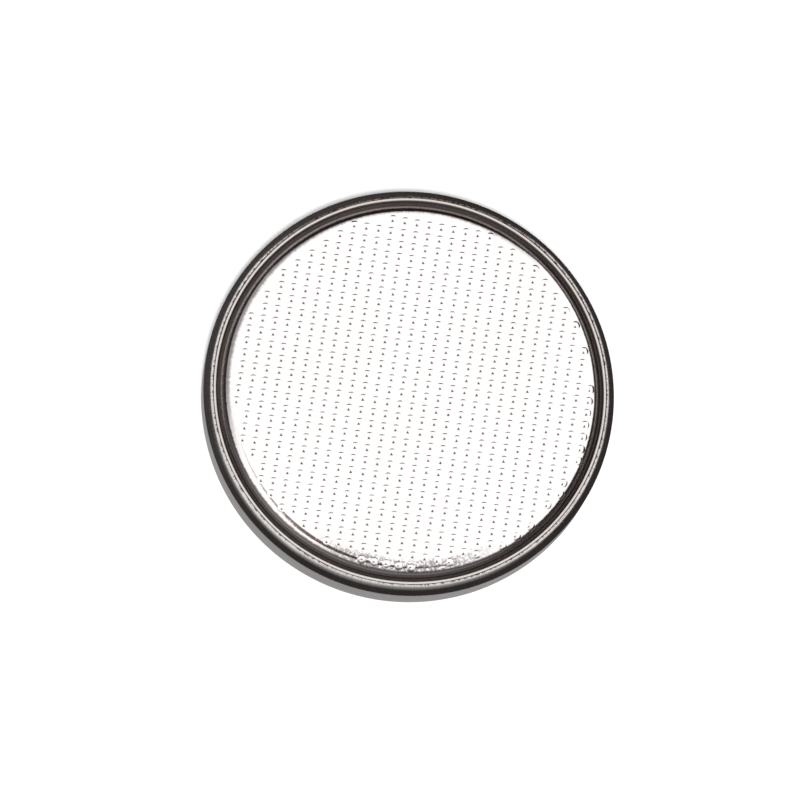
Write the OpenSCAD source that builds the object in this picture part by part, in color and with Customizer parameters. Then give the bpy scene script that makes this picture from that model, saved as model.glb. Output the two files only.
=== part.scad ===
// Lithium coin cell, 20 mm across and 3.2 mm high, as its separate pieces.
// Negative side up. The origin is the centre of the flat positive face.

/* [Cell] */
// Diameter across the can
cell_d = 20; // [12:0.1:30]
// Height from the positive face to the tops of the domes
cell_h = 3.2; // [2.4:0.05:5.4]

/* [Positive can] */
// Thickness of the can's sheet
can_t = 0.25; // [0.15:0.01:0.3]
// Outside radius of the corner between base and wall
can_corner_r = 0.45; // [0.35:0.01:0.6]
// Outside radius of the wide bend at the top of the wall
wall_turn_r = 1.1; // [0.9:0.01:1.2]
// Turn of the sheet where the wide bend gives over to the shoulder, in degrees
shoulder_start = 30; // [25:1:38]
// Outside radius of the crimped shoulder
shoulder_r = 0.57; // [0.4:0.01:0.6]
// Turn of the sheet at the crimped lip, in degrees
crimp_turn = 67; // [64:1:76]
// How far the crimped lip lies below the tops of the domes
lip_drop = 0.25; // [0.2:0.01:0.4]

/* [Gasket] */
// Thickness of the gasket's wall, between the can and the cap
gasket_t = 0.32; // [0.3:0.01:0.5]
// Thickness of the gasket under the cap's skirt
gasket_floor_t = 0.3; // [0.15:0.01:0.5]
// Thickness of the upstand inside the skirt
upstand_t = 0.38; // [0.2:0.01:0.5]
// Height of the upstand above the gasket's underside
upstand_h = 0.9; // [0.6:0.01:1.2]
// How far the gasket's top edge lies below the lip
gasket_drop = 0.02; // [0.01:0.01:0.05]
// Clearance left between round faces that nest
fit_gap = 0.01; // [0.005:0.005:0.03]

/* [Negative cap] */
// Thickness of the cap's sheet
cap_t = 0.25; // [0.15:0.01:0.3]
// Width of the cap's rounded rim, from the flat face out to the skirt
rim_w = 0.79; // [0.7:0.01:0.9]
// Outside radius where the flat face turns into the slope
face_edge_r = 0.6; // [0.5:0.01:0.65]
// Angle of the slope below the flat face, in degrees
rim_slope = 42; // [35:1:46]
// Outside radius where the slope turns into the skirt
skirt_turn_r = 0.35; // [0.31:0.01:0.4]

/* [Domed field] */
// Height of the coined domes above the flat face
dome_h = 0.055; // [0.03:0.001:0.1]
// Diameter of the round field that the domes cover on the flat face
field_d = 16.8; // [8:0.1:16.8]
// Shift of the field from the cell's axis
field_shift = [0.17, -0.1]; // [-0.2:0.01:0.2]

/* [Inside] */
// Diameter of the lithium disc
lithium_d = 16; // [8:0.1:16.2]
// Thickness of the lithium disc
lithium_t = 0.6; // [0.2:0.01:0.9]
// Gap between the separator's edge and the gasket's upstand
separator_gap = 0.1; // [0.05:0.01:0.5]
// Thickness of the separator
separator_t = 0.2; // [0.05:0.01:0.4]
// Gap between the cathode ring and the gasket's upstand
ring_gap = 0.5; // [0.2:0.01:1]
// Thickness of the cathode ring's sheet
ring_t = 0.2; // [0.1:0.01:0.25]
// Height of the cathode ring
ring_h = 1.2; // [0.6:0.01:1.3]
// Width of the ring's foot, under the pellet
ring_foot_w = 0.8; // [0.4:0.01:2]

/* [Hidden] */
$fn = 96;
arc_steps = 12;

// Radii and heights that the pieces share
cell_r = cell_d / 2;
can_in_r = cell_r - can_t;
lip_z = cell_h - lip_drop;
// The wide bend and the shoulder meet where both turn by the same angle
shoulder_c_r = cell_r - wall_turn_r - (shoulder_r - wall_turn_r) * cos(shoulder_start);
shoulder_c = [shoulder_c_r, lip_z - shoulder_r * sin(crimp_turn)];
wall_turn_c = shoulder_c + (shoulder_r - wall_turn_r) * [cos(shoulder_start), sin(shoulder_start)];
gasket_r = can_in_r - fit_gap;
gasket_in_r = gasket_r - gasket_t;
cap_r = gasket_in_r - fit_gap;
face_z = cell_h - dome_h;
face_r = cap_r - rim_w;
skirt_z = can_t + gasket_floor_t;
upstand_r = cap_r - cap_t - fit_gap;
upstand_in_r = upstand_r - upstand_t;
cap_in_z = face_z - cap_t;
lithium_z = cap_in_z - lithium_t;
separator_z = lithium_z - separator_t;
separator_r = upstand_in_r - separator_gap;
ring_r = upstand_in_r - ring_gap;
pellet_r = ring_r - ring_t - fit_gap;
ring_foot_r = ring_r - ring_t - ring_foot_w;

// Points on an arc about a centre, from one angle to another
function arc(centre, radius, from, to) =
    [for (i = [0 : arc_steps])
        let (a = from + (to - from) * i / arc_steps)
        centre + radius * [cos(a), sin(a)]];

// Reverses the order of a list of points
function backward(points) = [for (i = [len(points) - 1 : -1 : 0]) points[i]];

// One side of the can's sheet, from the axis out along the base and up over the crimp
function can_side(inset) = concat(
    [[0, inset]],
    arc([cell_r - can_corner_r, can_corner_r], can_corner_r - inset, -90, 0),
    arc(wall_turn_c, wall_turn_r - inset, 0, shoulder_start),
    arc(shoulder_c, shoulder_r - inset, shoulder_start, crimp_turn));

// One side of the cap's sheet, from the axis out along the face and down the skirt
function cap_side(inset) =
    let (
        edge_c = [face_r, face_z - face_edge_r],
        normal = 90 - rim_slope,
        turn_r = cap_r - skirt_turn_r,
        // The slope leaves the face's edge arc and meets the skirt's arc along one straight line
        edge_end = edge_c + face_edge_r * [cos(normal), sin(normal)],
        turn_end_r = turn_r + skirt_turn_r * cos(normal),
        turn_end_z = edge_end[1] - (turn_end_r - edge_end[0]) * tan(rim_slope),
        turn_c = [turn_r, turn_end_z - skirt_turn_r * sin(normal)])
    concat(
        [[0, face_z - inset]],
        arc(edge_c, face_edge_r - inset, 90, normal),
        arc(turn_c, skirt_turn_r - inset, normal, 0),
        [[cap_r - inset, skirt_z]]);

// Stainless can, with its wall crimped over at the top
module positive_can() {
    color("silver")
        rotate_extrude()
            polygon(concat(can_side(0), backward(can_side(can_t))));
}

// Ring of polypropylene with a groove that the cap's skirt stands in
module gasket() {
    inset = can_t + fit_gap;
    corner_r = can_corner_r - can_t;
    // The top edge follows the lip's cut face and ends in a half-round bead beside it
    lip_way = [cos(crimp_turn), sin(crimp_turn)];
    foot = shoulder_c + (shoulder_r - inset) * lip_way + fit_gap * [-lip_way[1], lip_way[0]];
    lean = lip_way[0] / lip_way[1];
    top_z = lip_z - gasket_drop;
    bead_r = (foot[0] + (top_z - foot[1]) * lean - gasket_in_r) / (2 + lean);
    bead_c = [gasket_in_r + bead_r, top_z - bead_r];
    color("ivory")
        rotate_extrude()
            polygon(concat(
                [[upstand_in_r, can_t]],
                arc([gasket_r - corner_r, can_t + corner_r], corner_r, -90, 0),
                arc(wall_turn_c, wall_turn_r - inset, 0, shoulder_start),
                arc(shoulder_c, shoulder_r - inset, shoulder_start, crimp_turn),
                [foot],
                arc(bead_c, bead_r, 0, 180),
                [[gasket_in_r, skirt_z], [upstand_r, skirt_z]],
                [[upstand_r, can_t + upstand_h], [upstand_in_r, can_t + upstand_h]]));
}

// Field of coined domes, as the thin disc whose top face passes through all their tops
module dome_field() {
    translate([field_shift[0], field_shift[1], face_z])
        cylinder(d = field_d, h = dome_h);
}

// Stainless cap, drawn with a sloped rim and a skirt, its face coined with domes
module negative_cap() {
    color("gainsboro") {
        rotate_extrude()
            polygon(concat(cap_side(0), backward(cap_side(cap_t))));
        dome_field();
    }
}

// Lithium metal disc, pressed against the inside of the cap
module lithium_anode() {
    color("lightslategray")
        translate([0, 0, lithium_z]) cylinder(d = lithium_d, h = lithium_t);
}

// Porous felt disc between the two electrodes
module separator() {
    color("white")
        translate([0, 0, separator_z]) cylinder(r = separator_r, h = separator_t);
}

// Pressed manganese dioxide pellet, stepped at its foot for the ring
module cathode_pellet() {
    color("dimgray")
        rotate_extrude()
            polygon([
                [0, can_t], [ring_foot_r - fit_gap, can_t],
                [ring_foot_r - fit_gap, can_t + ring_t], [pellet_r, can_t + ring_t],
                [pellet_r, separator_z], [0, separator_z]]);
}

// Stainless ring of L section, which holds the pellet's edge and foot
module cathode_ring() {
    color("darkgray")
        rotate_extrude()
            polygon([
                [ring_foot_r, can_t], [ring_r, can_t], [ring_r, can_t + ring_h],
                [ring_r - ring_t, can_t + ring_h], [ring_r - ring_t, can_t + ring_t],
                [ring_foot_r, can_t + ring_t]]);
}

positive_can();
gasket();
negative_cap();
lithium_anode();
separator();
cathode_pellet();
cathode_ring();
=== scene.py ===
import math
import random

import bmesh
import bpy
from mathutils import Matrix, Vector, noise
from mathutils.geometry import delaunay_2d_cdt


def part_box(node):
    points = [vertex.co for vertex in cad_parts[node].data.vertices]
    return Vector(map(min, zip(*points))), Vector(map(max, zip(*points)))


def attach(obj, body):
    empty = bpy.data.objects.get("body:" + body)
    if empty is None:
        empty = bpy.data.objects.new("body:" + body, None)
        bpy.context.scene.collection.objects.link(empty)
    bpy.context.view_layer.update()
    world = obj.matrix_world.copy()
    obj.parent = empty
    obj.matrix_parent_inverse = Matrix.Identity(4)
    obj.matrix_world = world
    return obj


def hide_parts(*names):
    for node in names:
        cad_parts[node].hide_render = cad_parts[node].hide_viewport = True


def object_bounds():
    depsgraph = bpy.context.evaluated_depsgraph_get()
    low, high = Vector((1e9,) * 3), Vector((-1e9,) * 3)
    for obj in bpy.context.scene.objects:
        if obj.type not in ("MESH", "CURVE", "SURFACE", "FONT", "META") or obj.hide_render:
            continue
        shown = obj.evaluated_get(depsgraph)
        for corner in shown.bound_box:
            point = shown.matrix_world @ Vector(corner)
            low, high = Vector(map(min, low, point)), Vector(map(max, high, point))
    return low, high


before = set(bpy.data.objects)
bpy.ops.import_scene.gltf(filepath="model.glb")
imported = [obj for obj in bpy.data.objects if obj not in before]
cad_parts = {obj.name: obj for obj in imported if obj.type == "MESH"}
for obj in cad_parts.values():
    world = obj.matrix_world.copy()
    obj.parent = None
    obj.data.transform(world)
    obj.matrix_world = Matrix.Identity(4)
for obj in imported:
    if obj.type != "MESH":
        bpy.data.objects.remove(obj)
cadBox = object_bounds()
mm = 0.001
print("frame loaded:", sorted(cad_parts))


class Wire:
    # Wraps one output socket, so that shader maths reads as plain expressions

    def __init__(self, nodes, socket):
        self.nodes = nodes
        self.socket = socket

    def maths(self, operation, *values):
        return self.nodes.add("ShaderNodeMath", {"operation": operation}, values)

    def __add__(self, other):
        return self.maths("ADD", self, other)

    def __radd__(self, other):
        return self.maths("ADD", other, self)

    def __sub__(self, other):
        return self.maths("SUBTRACT", self, other)

    def __rsub__(self, other):
        return self.maths("SUBTRACT", other, self)

    def __mul__(self, other):
        return self.maths("MULTIPLY", self, other)

    def __rmul__(self, other):
        return self.maths("MULTIPLY", other, self)

    def __truediv__(self, other):
        return self.maths("DIVIDE", self, other)

    def __rtruediv__(self, other):
        return self.maths("DIVIDE", other, self)


class Nodes:
    # A node tree with one way of adding nodes: type, settings, then the sockets' values or links

    def __init__(self, owner):
        owner.use_nodes = True
        self.owner = owner
        self.tree = owner.node_tree
        self.tree.nodes.clear()

    def add(self, kind, settings=None, sockets=(), out=0):
        node = self.tree.nodes.new(kind)
        for name, value in (settings or {}).items():
            setattr(node, name, value)
        pairs = sockets.items() if isinstance(sockets, dict) else enumerate(sockets)
        for key, value in pairs:
            if isinstance(value, Wire):
                self.tree.links.new(value.socket, node.inputs[key])
            else:
                node.inputs[key].default_value = value
        return Wire(self, node.outputs[out]) if node.outputs else node

    def step(self, value, start, end, low=0.0, high=1.0):
        # Smooth change from low to high while value goes from start to end
        sockets = {"Value": value, "From Min": start, "From Max": end, "To Min": low, "To Max": high}
        return self.add("ShaderNodeMapRange", {"interpolation_type": "SMOOTHSTEP"}, sockets)

    def blend(self, factor, first, second):
        # Mix of two colours
        return self.add("ShaderNodeMix", {"data_type": "RGBA"}, {0: factor, 6: first, 7: second}, out=2)

    def grain(self, vector, scale, detail=2.0, roughness=0.5):
        sockets = {"Vector": vector, "Scale": scale, "Detail": detail, "Roughness": roughness}
        return self.add("ShaderNodeTexNoise", {}, sockets)

    def bump(self, height, distance, strength=1.0):
        sockets = {"Strength": strength, "Distance": distance, "Height": height}
        return self.add("ShaderNodeBump", {}, sockets)

    def toward(self, vector, way):
        # How much a direction points one way
        return self.add("ShaderNodeVectorMath", {"operation": "DOT_PRODUCT"}, [vector, way], out=1)

    def polar(self):
        # Object position, with the distance from the cell's axis and the direction round it
        place = self.add("ShaderNodeTexCoord", {}, out=3)
        flat = self.add("ShaderNodeVectorMath", {"operation": "MULTIPLY"}, [place, (1, 1, 0)])
        radius = self.add("ShaderNodeVectorMath", {"operation": "LENGTH"}, [flat], out=1)
        around = self.add("ShaderNodeVectorMath", {"operation": "NORMALIZE"}, [flat])
        height = self.add("ShaderNodeSeparateXYZ", {}, [place], out=2)
        return place, radius, around, height

    def surface(self, sockets):
        shader = self.add("ShaderNodeBsdfPrincipled", {}, sockets)
        self.add("ShaderNodeOutputMaterial", {}, {"Surface": shader})
        return self.owner


def newNodes(name):
    return Nodes(bpy.data.materials.new(name))


# Sizes in millimetres; the can's, cap's and gasket's outer sizes come from the frame
canLow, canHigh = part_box("positive_can")
capLow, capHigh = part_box("negative_cap")
sealLow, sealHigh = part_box("gasket")
cell = {
    "radius": canHigh.x / mm,
    "lipZ": canHigh.z / mm,
    "topZ": capHigh.z / mm,
    "capRadius": capHigh.x / mm,
    "skirtZ": capLow.z / mm,
    "sealRadius": sealHigh.x / mm,
    "sealFloorZ": sealLow.z / mm,
    "sealTopZ": sealHigh.z / mm,
}


def arc(centre, radius, start, end, steps):
    # Points on an arc in the section plane, angles in degrees from the outward direction
    points = []
    for i in range(steps + 1):
        a = math.radians(start + (end - start) * i / steps)
        points.append((centre[0] + radius * math.cos(a), centre[1] + radius * math.sin(a)))
    return points


def along(start, end, steps):
    # Points strictly between two section points
    return [
        (start[0] + (end[0] - start[0]) * i / steps, start[1] + (end[1] - start[1]) * i / steps)
        for i in range(1, steps)
    ]


def ringAngles(count, offset=0.0):
    return [2 * math.pi * (k + offset) / count for k in range(count)]


def turned(name, section, segments, wobble, closed=True):
    # Turns a section round the axis; wobble(radius, z, angle) gives a small change of radius and z
    mesh = bmesh.new()
    rings = []
    for r, z in section:
        if r < 1e-6:
            rings.append([mesh.verts.new((0, 0, z * mm))])
            continue
        ring = []
        for a in ringAngles(segments):
            dr, dz = wobble(r, z, a)
            spot = Vector(((r + dr) * math.cos(a), (r + dr) * math.sin(a), z + dz))
            ring.append(mesh.verts.new(spot * mm))
        rings.append(ring)
    pairs = list(zip(rings, rings[1:]))
    if closed and len(rings[0]) > 1:
        pairs.append((rings[-1], rings[0]))
    for lower, upper in pairs:
        for k in range(segments):
            n = (k + 1) % segments
            if len(lower) == 1:
                mesh.faces.new((lower[0], upper[n], upper[k]))
            elif len(upper) == 1:
                mesh.faces.new((lower[k], lower[n], upper[0]))
            else:
                mesh.faces.new((lower[k], lower[n], upper[n], upper[k]))
    bmesh.ops.recalc_face_normals(mesh, faces=mesh.faces)
    data = bpy.data.meshes.new(name)
    mesh.to_mesh(data)
    mesh.free()
    piece = bpy.data.objects.new(name, data)
    bpy.context.scene.collection.objects.link(piece)
    return piece


def finishPiece(piece, material, node, sharpAngle=35):
    # Smooth shading with sharp corners, then the material, the body and the node that it stands for
    data = piece.data
    data.materials.append(material)
    data.shade_smooth()
    if sharpAngle:
        data.set_sharp_from_angle(angle=math.radians(sharpAngle))
    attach(piece, "root")
    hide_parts(node)
    print(piece.name, "has", sum(len(p.vertices) - 2 for p in data.polygons), "triangles")


def ringNoise(angle, turns, seed):
    # Seamless noise round the axis, about turns bumps in a full circle
    s = turns / (2 * math.pi)
    return noise.noise(Vector((math.cos(angle) * s, math.sin(angle) * s, seed * 7.3)))


# The can: base, wall, wide bend, crimped shoulder and lip
can = {
    "sheet": 0.25,
    "cornerR": 0.45,
    "wallTurnR": 1.1,
    "shoulderStart": 30,
    "shoulderR": 0.57,
    "crimpTurn": 67,
    "segments": 480,
    "lipRagged": 0.012,  # how uneven the lip's cut edge is
    "nick": {"angle": 90, "halfWidth": 0.8, "depth": 0.05},
    "light": (0.62, 0.61, 0.60),
    "dark": (0.46, 0.45, 0.44),
    "burr": (0.05, 0.045, 0.04),
    "burrReach": (0.02, 0.07),  # out from the lip's edge
    "roughness": 0.13,
    "streaksAround": 150,
    "streaksUp": 400,
    "blotches": 420.0,
    "specks": 9000.0,
    "relief": 0.003,
}


def shoulderCentres():
    # Centres of the shoulder's arc and of the wide bend below it
    crimp, start = math.radians(can["crimpTurn"]), math.radians(can["shoulderStart"])
    apart = can["shoulderR"] - can["wallTurnR"]
    bendR = cell["radius"] - can["wallTurnR"]
    shoulder = (bendR - apart * math.cos(start), cell["lipZ"] - can["shoulderR"] * math.sin(crimp))
    bend = (bendR, shoulder[1] + apart * math.sin(start))
    return shoulder, bend


def canSide(inset):
    shoulder, bend = shoulderCentres()
    corner = (cell["radius"] - can["cornerR"], can["cornerR"])
    base = [(0, inset), (4, inset), (8, inset)]
    side = arc(corner, can["cornerR"] - inset, -90, 0, 10)
    side += along((cell["radius"] - inset, corner[1]), (cell["radius"] - inset, bend[1]), 4)
    side += arc(bend, can["wallTurnR"] - inset, 0, can["shoulderStart"], 14)
    side += arc(shoulder, can["shoulderR"] - inset, can["shoulderStart"], can["crimpTurn"], 12)[1:]
    return base + side


def lipWobble(r, z, angle):
    # Uneven cut edge, fading out over the shoulder
    near = max(0.0, 1 - abs(z - cell["lipZ"]) / 0.12) if r < cell["radius"] - 0.2 else 0.0
    ragged = ringNoise(angle, 240, 1) + 0.7 * ringNoise(angle, 700, 2) + 0.5 * ringNoise(angle, 30, 3)
    away = abs(math.degrees(angle) - can["nick"]["angle"])
    nick = near * max(0.0, 1 - away / can["nick"]["halfWidth"]) * can["nick"]["depth"]
    return nick - can["lipRagged"] * near * ragged, 0.5 * can["lipRagged"] * near * min(0.0, ragged) - nick


def steelCan():
    m = newNodes("crimpedSteel")
    place, radius, around, height = m.polar()
    rise = m.add("ShaderNodeCombineXYZ", {}, [0.0, 0.0, height * can["streaksUp"]])
    spread = [around, (can["streaksAround"],) * 3, rise]
    streaks = m.grain(m.add("ShaderNodeVectorMath", {"operation": "MULTIPLY_ADD"}, spread), 1.0, 3, 0.6)
    blotches = m.grain(place, can["blotches"], 3, 0.55)
    specks = m.step(m.grain(place, can["specks"], 1, 0.5), 0.72, 0.78)
    start, end = (lipRadius() * mm + reach * mm for reach in can["burrReach"])
    burr = m.step(radius, start, end, 1.0, 0.0) * m.step(height, 2.5 * mm, 2.6 * mm)
    dashes = m.step(m.grain(around, 60.0, 4, 0.6), 0.5, 0.58) * burr
    tone = m.step(streaks * 0.6 + blotches * 0.4, 0.3, 0.7)
    colour = m.blend(tone, (*can["dark"], 1), (*can["light"], 1))
    colour = m.blend(dashes * 0.8, colour, (*can["burr"], 1))
    relief = streaks * 0.5 + blotches * 0.5 - specks * 0.6
    return m.surface({
        "Base Color": colour,
        "Metallic": 1.0,
        "Roughness": can["roughness"] + streaks * 0.10 + specks * 0.25,
        "Normal": m.bump(relief, can["relief"] * mm, 0.8),
    })


def lipRadius():
    shoulder, bend = shoulderCentres()
    return shoulder[0] + can["shoulderR"] * math.cos(math.radians(can["crimpTurn"]))


canSection = canSide(0) + canSide(can["sheet"])[::-1]
canPiece = turned("can_shell", canSection, can["segments"], lipWobble, closed=False)
finishPiece(canPiece, steelCan(), "positive_can")

# The sealing ring: its bead shows as a thin pale line between the lip and the cap
seal = {
    "gap": 0.01,
    "upstand": 0.38,
    "upstandHeight": 0.9,
    "segments": 480,
    "ragged": 0.008,
    "pale": (0.52, 0.475, 0.45),
    "mottled": (0.41, 0.36, 0.33),
    "tan": (0.34, 0.20, 0.155),
    # colour of the painted shade on the ring's flanks below the bead
    "paintedFlankShade": (0.08, 0.075, 0.073),
    "tanReach": (0.012, 0.035),  # out from the bead's inner edge
    "paintedFlankShadeReach": (0.09, 0.03),  # painted shade on the flanks fades out between these depths down from the bead's top
    "mottle": 90.0,
    "grain": 4000.0,
    "relief": 0.003,
}


def sealSection():
    shoulder, bend = shoulderCentres()
    inset = can["sheet"] + seal["gap"]
    outer = cell["sealRadius"]
    inner = cell["capRadius"] + seal["gap"]
    upstandOut = cell["capRadius"] - cap["sheet"] - seal["gap"]
    upstandIn = upstandOut - seal["upstand"]
    cornerR = can["cornerR"] - can["sheet"]
    floorZ = cell["sealFloorZ"]
    crimp = math.radians(can["crimpTurn"])
    way = (math.cos(crimp), math.sin(crimp))
    foot = (
        shoulder[0] + (can["shoulderR"] - inset) * way[0] - seal["gap"] * way[1],
        shoulder[1] + (can["shoulderR"] - inset) * way[1] + seal["gap"] * way[0],
    )
    lean = way[0] / way[1]
    top = cell["sealTopZ"]
    beadR = (foot[0] + (top - foot[1]) * lean - inner) / (2 + lean)
    section = [(upstandIn, floorZ)]
    section += arc((outer - cornerR, floorZ + cornerR), cornerR, -90, 0, 6)
    section += along((outer, floorZ + cornerR), (outer, bend[1]), 4)
    section += arc(bend, can["wallTurnR"] - inset, 0, can["shoulderStart"], 5)
    section += arc(shoulder, can["shoulderR"] - inset, can["shoulderStart"], can["crimpTurn"], 8)[1:]
    section += [foot] + arc((inner + beadR, top - beadR), beadR, 0, 180, 10)
    section += [(inner, cell["skirtZ"]), (upstandOut, cell["skirtZ"])]
    section += [(upstandOut, floorZ + seal["upstandHeight"]), (upstandIn, floorZ + seal["upstandHeight"])]
    return section


def sealWobble(r, z, angle):
    # The squeezed bead is a little uneven, and only ever lower or narrower than its section
    near = max(0.0, min(1.0, (z - cell["sealTopZ"] + 0.09) / 0.05))
    ragged = max(0.0, ringNoise(angle, 170, 5) + 0.6 * ringNoise(angle, 520, 6))
    return 0.0, -seal["ragged"] * near * ragged * 1.6


def palePlastic():
    m = newNodes("palePolypropylene")
    place, radius, around, height = m.polar()
    inner = cell["capRadius"] + seal["gap"]
    tanStart, tanEnd = ((inner + reach) * mm for reach in seal["tanReach"])
    flankShadeStart, flankShadeEnd = ((cell["sealTopZ"] - reach) * mm for reach in seal["paintedFlankShadeReach"])
    mottle = m.grain(around, seal["mottle"], 3, 0.6)
    fringe = m.step(radius, tanStart, tanEnd, 1.0, 0.0)
    # Painted shade: all of the ring below the bead is darkened, where its flanks sit in shade
    flankShadeMask = m.step(height, flankShadeStart, flankShadeEnd, 1.0, 0.0)
    colour = m.blend(m.step(mottle, 0.35, 0.7) * 0.5, (*seal["pale"], 1), (*seal["mottled"], 1))
    colour = m.blend(fringe * 0.6, colour, (*seal["tan"], 1))
    colour = m.blend(flankShadeMask, colour, (*seal["paintedFlankShade"], 1))
    return m.surface({
        "Base Color": colour,
        "Roughness": 0.3 + mottle * 0.2,
        "Normal": m.bump(m.grain(place, seal["grain"], 2, 0.5), seal["relief"] * mm, 0.5),
    })


# The cap: flat face with coined domes, rounded edge, slope, turn and skirt
cap = {
    "sheet": 0.25,
    "rim": 0.79,
    "edgeR": 0.6,
    "slope": 42,
    "turnR": 0.35,
    "segments": 420,
    "edgeSteps": 9,
    "skirtRing": 1.6,  # height of a ring part of the way down the skirt
    "insideRing": 4.0,  # radius of a ring under the face
    "light": (0.80, 0.785, 0.775),
    "dark": (0.76, 0.745, 0.74),
    "brown": (0.32, 0.28, 0.27),
    # colour of the painted shade, in the groove and at the face's far and near edges
    "paintedShade": (0.13, 0.115, 0.115),
    "grooveShade": (0.36, 0.29, 0.18, 0.12),  # painted shade in the groove round the slope: fades in, then out, at these distances in from the edge
    # painted shade at the face's edge on the far side, and a speckled patch of it on the near side
    "farEdgeShade": {"way": (-0.55, 0.83, 0), "spread": (0.1, 0.6), "reach": (0.72, 0.54)},
    "nearEdgeShade": {"way": (-0.04, -1.0, 0), "spread": (0.84, 0.985), "reach": (0.72, 0.52, 0.45, 0.35)},
    "nearShadeFade": (3.155, 3.17),  # heights between which the painted shade on the near side fades out
    "roughness": 0.11,
    "rimRoughness": 0.14,
    "relief": 0.002,
}
domes = {
    "pitch": 0.601,
    "diameter": 0.42,
    "height": 0.055,
    "turn": -9.24,  # degrees, of the square grid
    "shift": (0.349, -0.425),  # of the grid's zero point, in pitches
    "fieldRadius": 8.72,
    "fieldShift": (0.17, -0.10),
    "around": 20,
    "rings": (0.35, 0.6, 0.78, 0.9),  # shares of a dome's radius
    "clear": 0.012,  # between a dome's foot and any other point
    "uneven": 0.05,
    "seed": 7,
}


def faceEdge():
    return cell["capRadius"] - cap["rim"]


def faceLevel():
    return cell["topZ"] - domes["height"]


def slopeStart():
    # Where the rounded edge gives over to the straight slope
    return faceEdge() + cap["edgeR"] * math.sin(math.radians(cap["slope"]))


def faceShape(x, y):
    # Height of the undomed face, and its slopes along x and y
    r = math.hypot(x, y)
    beyond = r - faceEdge()
    if beyond <= 0:
        return faceLevel(), 0.0, 0.0
    root = math.sqrt(cap["edgeR"] ** 2 - beyond ** 2)
    fall = -beyond / root
    return faceLevel() - cap["edgeR"] + root, fall * x / r, fall * y / r


def domePlaces():
    # Grid points inside the field, each with its own small change of height
    draw = random.Random(domes["seed"])
    turn = Matrix.Rotation(math.radians(domes["turn"]), 2)
    reach = math.ceil(domes["fieldRadius"] / domes["pitch"]) + 1
    places = []
    for i in range(-reach, reach + 1):
        for j in range(-reach, reach + 1):
            p = turn @ ((Vector((i, j)) + Vector(domes["shift"])) * domes["pitch"])
            change = 1 - domes["uneven"] * draw.random()
            inside = domes["fieldRadius"] - (p - Vector(domes["fieldShift"])).length
            if inside < 0:
                continue
            places.append((p.x, p.y, domes["height"] * change))
    return places


class Skin:
    # Points in millimetres, faces and the true normal at each corner, gathered before the mesh is made

    def __init__(self):
        self.spots, self.faces, self.normals = [], [], []

    def addSpots(self, spots):
        start = len(self.spots)
        self.spots += spots
        return list(range(start, len(self.spots)))

    def addFace(self, corners, facing):
        self.faces.append(tuple(corners))
        self.normals += facing

    def addBand(self, outer, outerFacing, inner, innerFacing):
        # Faces between two rings, or triangles where a ring is one point given many times
        for k in range(len(outer)):
            j = (k + 1) % len(outer)
            corners = {outer[k]: outerFacing[k], outer[j]: outerFacing[j]}
            corners.setdefault(inner[j], innerFacing[j])
            corners.setdefault(inner[k], innerFacing[k])
            self.addFace(corners.keys(), list(corners.values()))

    def makePiece(self, name):
        data = bpy.data.meshes.new(name)
        data.from_pydata([spot * mm for spot in self.spots], [], self.faces)
        data.update()
        data.shade_smooth()
        data.normals_split_custom_set(self.normals)
        piece = bpy.data.objects.new(name, data)
        bpy.context.scene.collection.objects.link(piece)
        return piece


def nearDome(point, places, reach):
    return any((point.x - cx) ** 2 + (point.y - cy) ** 2 < reach ** 2 for cx, cy, high in places)


def facePlan(places):
    # The face from above, triangulated round the feet of the domes and out to the start of the slope
    footR, count, segments = domes["diameter"] / 2, domes["around"], cap["segments"]
    flat, lines = [], []
    for cx, cy, high in places:
        first = len(flat)
        flat += [Vector((cx + footR * math.cos(a), cy + footR * math.sin(a))) for a in ringAngles(count)]
        lines += [(first + k, first + (k + 1) % count) for k in range(count)]
    border = [len(flat) + k for k in range(segments)]
    lines += zip(border, border[1:] + border[:1])
    for step in range(cap["edgeSteps"] + 1):
        # Rings over the rounded edge; the first and outermost is the border
        tilt = math.radians(cap["slope"]) * (1 - step / cap["edgeSteps"])
        r = faceEdge() + cap["edgeR"] * math.sin(tilt)
        for a in ringAngles(segments, 0.5 * (step % 2)):
            p = Vector((r * math.cos(a), r * math.sin(a)))
            if step == 0 or not nearDome(p, places, footR + domes["clear"]):
                flat.append(p)
    points, _, faces, fromPoints, _, _ = delaunay_2d_cdt(flat, lines, [border], 1, 1e-6)
    print("face triangulated:", len(points), "points")
    where = {source: index for index, sources in enumerate(fromPoints) for source in sources}
    return points, openFaces(points, faces, places), where


def openFaces(points, faces, places):
    # The triangles that lie under no dome
    cells = {}
    for place in places:
        cells.setdefault((math.floor(place[0]), math.floor(place[1])), []).append(place)
    kept = []
    for face in faces:
        middle = sum((points[i] for i in face), Vector((0, 0))) / len(face)
        gx, gy = math.floor(middle.x), math.floor(middle.y)
        close = [q for dx in (-1, 0, 1) for dy in (-1, 0, 1) for q in cells.get((gx + dx, gy + dy), ())]
        if not nearDome(middle, close, domes["diameter"] / 2 * 0.98):
            kept.append(face)
    return kept


def normalOf(slopeX, slopeY):
    return Vector((-slopeX, -slopeY, 1)).normalized()


def addPlate(skin, points, faces):
    shapes = [faceShape(p.x, p.y) for p in points]
    skin.addSpots([Vector((p.x, p.y, shape[0])) for p, shape in zip(points, shapes)])
    for face in faces:
        skin.addFace(face, [normalOf(*shapes[i][1:]) for i in face])


def domePoint(place, rho, angle):
    # A point on a dome, which is part of a ball laid over the face, with its true normal
    cx, cy, high = place
    footR = domes["diameter"] / 2
    x, y = cx + rho * math.cos(angle), cy + rho * math.sin(angle)
    ballR = (footR ** 2 + high ** 2) / (2 * high)
    root = math.sqrt(ballR ** 2 - rho ** 2)
    z, slopeX, slopeY = faceShape(x, y)
    fall = -rho / root
    normal = normalOf(slopeX + fall * math.cos(angle), slopeY + fall * math.sin(angle))
    return Vector((x, y, z + root - ballR + high)), normal


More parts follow.
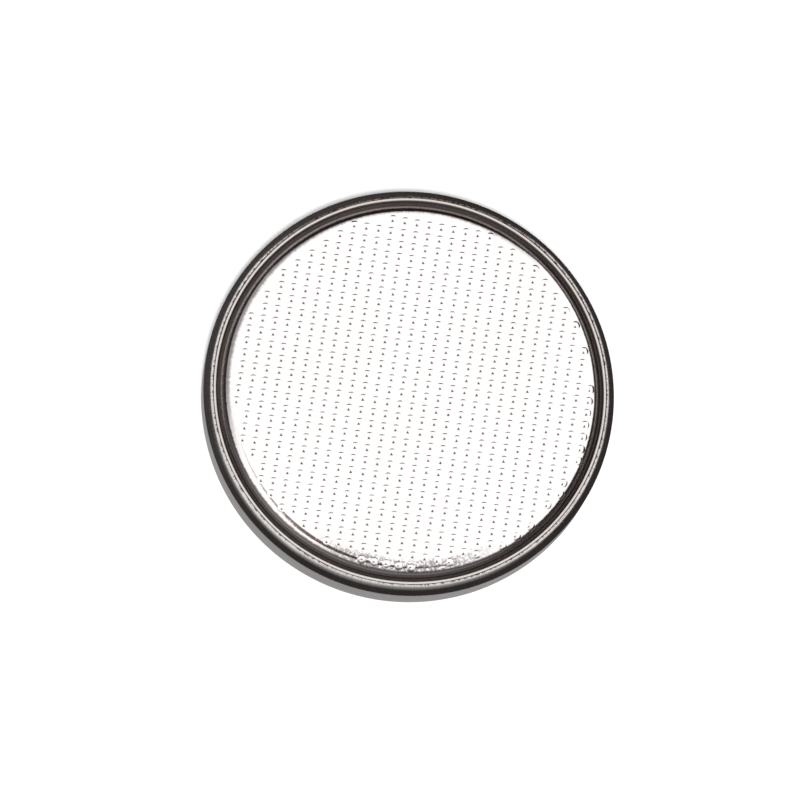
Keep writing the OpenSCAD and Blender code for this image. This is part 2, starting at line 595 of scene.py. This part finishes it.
def addDome(skin, place, ring):
    # Bands from the foot, whose points are in ring, up to the top
    footR, angles = domes["diameter"] / 2, ringAngles(domes["around"])
    facing = [domePoint(place, footR, a)[1] for a in angles]
    for share in reversed(domes["rings"]):
        made = [domePoint(place, footR * share, a) for a in angles]
        inner, innerFacing = skin.addSpots([spot for spot, normal in made]), [normal for spot, normal in made]
        skin.addBand(ring, facing, inner, innerFacing)
        ring, facing = inner, innerFacing
    top, topFacing = domePoint(place, 0, 0)
    skin.addBand(ring, facing, skin.addSpots([top]) * len(ring), [topFacing] * len(ring))


def facingArc(centre, radius, start, end, steps, turn=0):
    # Section points on an arc, each with the angle that it faces
    angles = [start + (end - start) * i / steps + turn for i in range(steps + 1)]
    return list(zip(arc(centre, radius, start, end, steps), angles))


def capSides():
    # Outer side, foot and inner side below the face, as section points with the angles that they face
    slope, up = math.radians(cap["slope"]), 90 - cap["slope"]
    outer, skirtZ, level = cell["capRadius"], cell["skirtZ"], faceLevel()
    sheet, turnR, edgeR = cap["sheet"], cap["turnR"], cap["edgeR"]
    startZ = level - edgeR * (1 - math.cos(slope))
    endR = outer - turnR + turnR * math.cos(math.radians(up))
    endZ = startZ - (endR - slopeStart()) * math.tan(slope)
    turnCentre = (outer - turnR, endZ - turnR * math.sin(math.radians(up)))
    edgeCentre = (faceEdge(), level - edgeR)
    outside = [((slopeStart(), startZ), up)] + facingArc(turnCentre, turnR, up, 0, 12)
    outside += [((outer, cap["skirtRing"]), 0), ((outer, skirtZ), 0)]
    foot = [((outer, skirtZ), -90), ((outer - sheet, skirtZ), -90)]
    under = [((outer - sheet, skirtZ), 180), ((outer - sheet, cap["skirtRing"]), 180)]
    under += facingArc(turnCentre, turnR - sheet, 0, up, 6, 180)
    under += facingArc(edgeCentre, edgeR - sheet, up, 90, 4, 180)
    under += [((cap["insideRing"], level - sheet), 270), ((0, level - sheet), 270)]
    return outside, foot, under


def addTurned(skin, side):
    segments = cap["segments"]
    rings = []
    for (r, z), facing in side:
        if r == 0:
            rings.append((skin.addSpots([Vector((0, 0, z))]) * segments, [Vector((0, 0, -1))] * segments))
            continue
        a = math.radians(facing)
        ways = [(math.cos(b), math.sin(b)) for b in ringAngles(segments)]
        spots = skin.addSpots([Vector((r * x, r * y, z)) for x, y in ways])
        rings.append((spots, [Vector((math.cos(a) * x, math.cos(a) * y, math.sin(a))) for x, y in ways]))
    for (first, firstFacing), (second, secondFacing) in zip(rings, rings[1:]):
        skin.addBand(second, secondFacing, first, firstFacing)


def domedCap():
    places = domePlaces()
    points, faces, where = facePlan(places)
    skin = Skin()
    addPlate(skin, points, faces)
    for number, place in enumerate(places):
        first = number * domes["around"]
        addDome(skin, place, [where[first + k] for k in range(domes["around"])])
    for side in capSides():
        addTurned(skin, side)
    return skin.makePiece("domed_cap")


def steelCap():
    m = newNodes("coinedSteel")
    place, radius, around, height = m.polar()
    bend, edge = slopeStart(), cell["capRadius"]
    far, near = cap["farEdgeShade"], cap["nearEdgeShade"]

    def ramp(value, start, end):
        # Rises from 0 to 1 between two sizes in millimetres
        return m.step(value, start * mm, end * mm)

    cloud = m.grain(place, 260.0, 3, 0.55)
    fine = m.grain(place, 5200.0, 2, 0.5)
    ragged = m.grain(around, 70.0, 4, 0.65)
    speckle = m.grain(place, 4200.0, 3, 0.65)
    specks = m.step(m.grain(place, 8000.0, 1, 0.5), 0.69, 0.75)
    lines = m.grain(m.add("ShaderNodeCombineXYZ", {}, [radius * 60000, height * 60000, 0.0]), 1.0, 1, 0.5)
    fuzz = radius + (ragged - 0.5) * (0.12 * mm) + (fine - 0.5) * (0.10 * mm)
    onRim = ramp(fuzz, bend - 0.12, bend - 0.04)
    brown = onRim * (1 - ramp(radius, bend + 0.02, bend + 0.09))

    # Painted shade: a dark band in the groove round the slope, weaker on the far side
    ring = ramp(radius, *(edge - reach for reach in cap["grooveShade"][:2]))
    ring = ring * (1 - ramp(radius, *(edge - reach for reach in cap["grooveShade"][2:])))
    # Painted shade: a fuzzy dark edge of the face on the far side
    farSide = m.step(m.toward(around, far["way"]), *far["spread"])
    farShadeMask = farSide * ramp(fuzz, *(edge - reach for reach in far["reach"]))
    farShadeMask = farShadeMask * (1 - ramp(radius, bend - 0.04, bend + 0.04))
    # Painted shade: a speckled dark patch inside the face's edge on the near side, fading out up the domes
    nearSide = m.step(m.toward(around, near["way"]), *near["spread"])
    nearShadeMask = nearSide * ramp(speckle * (0.7 * mm) + radius, *(edge - reach for reach in near["reach"][:2]))
    nearShadeMask = nearShadeMask * (1 - ramp(radius, *(edge - reach for reach in near["reach"][2:])))
    nearShadeMask = nearShadeMask * (1 - ramp(height, *cap["nearShadeFade"]))
    nearShadeMask = nearShadeMask * m.step(m.grain(place, 9000.0, 2, 0.6), 0.38, 0.56)

    colour = m.blend(m.step(cloud, 0.35, 0.65), (*cap["dark"], 1), (*cap["light"], 1))
    colour = m.blend(brown * 0.85, colour, (*cap["brown"], 1))
    # These blends paint shade in one dark colour: in the groove, at the far edge and at the near edge
    for amount in (ring * (0.9 - farSide * 0.6), farShadeMask * 0.85, nearShadeMask * 0.75):
        colour = m.blend(amount, colour, (*cap["paintedShade"], 1))
    rough = cap["roughness"] + cloud * 0.04 + onRim * (cap["rimRoughness"] - cap["roughness"]) + specks * 0.15
    crush = m.grain(place, 2600.0, 3, 0.6) * ramp(radius, bend - 0.42, bend - 0.2)
    crush = crush * (1 - ramp(radius, bend - 0.08, bend))
    relief = fine * (0.2 + onRim * 0.5) + crush * 5 + onRim * lines * 0.9 - specks * 0.5 * onRim
    return m.surface({
        "Base Color": colour,
        "Metallic": 1.0,
        "Roughness": rough,
        "Normal": m.bump(relief, cap["relief"] * mm, 0.6),
    })


sealPiece = turned("sealing_ring", sealSection(), seal["segments"], sealWobble)
finishPiece(sealPiece, palePlastic(), "gasket")
capPiece = domedCap()
finishPiece(capPiece, steelCap(), "negative_cap", sharpAngle=0)

# Finishes of the pieces sealed inside
inside = {
    "lithium_anode": {"dark": (0.42, 0.43, 0.45), "light": (0.62, 0.63, 0.65)},
    "separator": {"dark": (0.80, 0.80, 0.77), "light": (0.93, 0.93, 0.91)},
    "cathode_pellet": {"dark": (0.015, 0.015, 0.015), "light": (0.05, 0.05, 0.05)},
    "cathode_ring": {"dark": (0.40, 0.40, 0.39), "light": (0.58, 0.57, 0.56)},
}
insideGrain = {  # metallic, roughness and the scale of the mottling
    "lithium_anode": (1.0, 0.5, 900),
    "separator": (0.0, 0.9, 6000),
    "cathode_pellet": (0.0, 0.85, 5000),
    "cathode_ring": (1.0, 0.3, 1500),
}


def insideFinish(name, look):
    m = newNodes(name + "Finish")
    place, radius, around, height = m.polar()
    metal, roughness, scale = insideGrain[name]
    mottle = m.grain(place, scale, 4, 0.6)
    colour = m.blend(m.step(mottle, 0.3, 0.7), (*look["dark"], 1), (*look["light"], 1))
    return m.surface({
        "Base Color": colour,
        "Metallic": metal,
        "Roughness": roughness + mottle * 0.1,
        "Normal": m.bump(mottle, 0.00001, 0.5),
    })


for nodeName, look in inside.items():
    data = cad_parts[nodeName].data
    data.materials.clear()
    data.materials.append(insideFinish(nodeName, look))
print("inner pieces finished")

# Pale floor, soft studio light and the camera
studio = {
    "floorSide": 4.0,
    "floorColour": (0.86, 0.86, 0.86),
    "softbox": (1.0, 0.985, 0.982),
    "softboxLight": 1.36,
    "softboxEnds": {  # where each side starts to fade and where it is dark, in degrees from overhead
        "left": (62, 70),
        "right": (66, 74),
        "near": (43, 72),
        "far": (50, 57),
    },
    "farBow": 0.3,
    "ambient": 0.4,  # share of the studio's light that reaches what doesn't shine
    "key": {"from": (-0.05, -0.27), "distance": 600.0, "size": 110.0, "watts": 4.2},
    "walls": (0.048, 0.040, 0.038),
    "sideGlow": 0.035,
    "sideWay": (-0.8, 0.5, 0),
    "nearGlow": 0.30,
    "nearWay": (-0.35, -0.9, 0),
    "horizon": 0.97,  # what shows past the floor
    "nadir": 0.42,
    "patch": (0.16, 0.105, 0.095),
    "patchReach": (0.235, 0.305),  # size of the dark patch over the near side, narrower at its far end
    "patchSlants": (1.2, 0.75, -0.95),
    "camera": {
        "place": (-0.085, -0.203),  # leans of the line from the cell to the camera
        "distance": 317.5,
        "lens": 295.2,
        "offset": (0.507, 0.496),  # of the lip's middle, right of and above the middle of the view
    },
}


def makeFloor():
    side = studio["floorSide"] / 2
    data = bpy.data.meshes.new("floor")
    low = cadBox[0].z - 0.00001
    corners = [(x * side, y * side, low) for x, y in ((-1, -1), (1, -1), (1, 1), (-1, 1))]
    data.from_pydata(corners, [], [(0, 1, 2, 3)])
    floor = bpy.data.objects.new("floor", data)
    bpy.context.scene.collection.objects.link(floor)
    m = newNodes("paleFloor")
    place, radius, around, height = m.polar()
    mottle = m.grain(place, 40.0, 2, 0.5)
    duller = (*(c * 0.97 for c in studio["floorColour"]), 1)
    colour = m.blend(mottle, (*studio["floorColour"], 1), duller)
    data.materials.append(m.surface({"Base Color": colour, "Roughness": 0.9, "Specular IOR Level": 0.0}))
    floor.visible_glossy = False


def makeLight():
    # A studio by direction: a rectangular softbox overhead, dark walls, a faint glow low on one side,
    # grey straight below for the can's wall to mirror, and a dark patch where the camera stands
    world = bpy.data.worlds.new("studio")
    bpy.context.scene.world = world
    w = Nodes(world)
    way = w.add("ShaderNodeTexCoord", {}, out=0)
    x, y, z = (w.add("ShaderNodeSeparateXYZ", {}, [way], out=i) for i in range(3))
    rise = w.add("ShaderNodeMath", {"operation": "MAXIMUM"}, [z, 0.02])

    def within(slide, side):
        # One side of the softbox, by the angle of the direction in that side's plane
        angle = w.add("ShaderNodeMath", {"operation": "ARCTANGENT"}, [slide]) * (180 / math.pi)
        start, end = studio["softboxEnds"][side]
        return w.step(angle, start, end, 1.0, 0.0)

    across, along = x / rise, y / rise
    farLine = along - across * across * studio["farBow"]
    box = within(across, "right") * within(across * -1, "left")
    box = box * within(farLine, "far") * within(along * -1, "near")
    leanX, leanY = studio["camera"]["place"]
    aside = w.add("ShaderNodeMath", {"operation": "ABSOLUTE"}, [across - leanX])
    above = along - leanY
    out, over, down = studio["patchSlants"]
    outline = w.add("ShaderNodeMath", {"operation": "MAXIMUM"}, [aside * out + above * over, above * down])
    spot = w.step(outline, *studio["patchReach"], 1.0, 0.0)
    glow = w.step(w.toward(way, studio["sideWay"]), 0.1, 0.9) * w.step(z, 0.47, 0.34)
    haze = w.step(w.toward(way, studio["nearWay"]), 0.2, 0.8) * w.step(z, -0.25, 0.3) * w.step(z, 0.8, 0.6)
    low = w.step(z, -0.945, -0.972)
    lit = (*(c * studio["softboxLight"] for c in studio["softbox"]), 1)
    colour = w.blend(box, (*studio["walls"], 1), lit)
    colour = w.blend(spot, colour, (*studio["patch"], 1))
    soft = glow * studio["sideGlow"] + haze * studio["nearGlow"] + low * studio["nadir"]
    colour = w.blend(soft, colour, (1, 1, 1, 1))
    diffuse = w.add("ShaderNodeLightPath", {}, out=2)
    colour = w.blend(diffuse * (1 - studio["ambient"]), colour, (0, 0, 0, 1))
    seen = w.add("ShaderNodeLightPath", {}, out=0)
    colour = w.blend(seen, colour, (studio["horizon"],) * 3 + (1,))
    w.add("ShaderNodeOutputWorld", {}, {"Surface": w.add("ShaderNodeBackground", {}, {"Color": colour})})


def makeKey():
    # A lamp over the near side, which the polished pieces don't mirror: it whitens the floor
    key = studio["key"]
    data = bpy.data.lights.new("keyLight", "AREA")
    data.shape = "DISK"
    data.size = key["size"] * mm
    data.energy = key["watts"]
    lamp = bpy.data.objects.new("keyLight", data)
    away = Vector((*key["from"], 1)).normalized()
    facing = away.to_track_quat("Z", "Y").to_matrix().to_4x4()
    lamp.matrix_world = Matrix.Translation(away * key["distance"] * mm) @ facing
    lamp.visible_glossy = False
    bpy.context.scene.collection.objects.link(lamp)


def makeCamera():
    setup = studio["camera"]
    back = Vector((*setup["place"], 1)).normalized()
    right = Vector((0, 1, 0)).cross(back).normalized()
    up = back.cross(right)
    target = Vector((0, 0, cell["lipZ"])) - right * setup["offset"][0] - up * setup["offset"][1]
    place = (target + back * setup["distance"]) * mm
    data = bpy.data.cameras.new("camera")
    data.sensor_width = 36
    data.lens = setup["lens"]
    data.clip_start = 0.01
    data.clip_end = 20
    camera = bpy.data.objects.new("camera", data)
    camera.matrix_world = Matrix.Translation(place) @ Matrix((right, up, back)).transposed().to_4x4()
    bpy.context.scene.collection.objects.link(camera)
    bpy.context.scene.camera = camera


makeFloor()
makeLight()
makeKey()
makeCamera()
bpy.context.scene.view_settings.view_transform = "Standard"
print("stage ready")
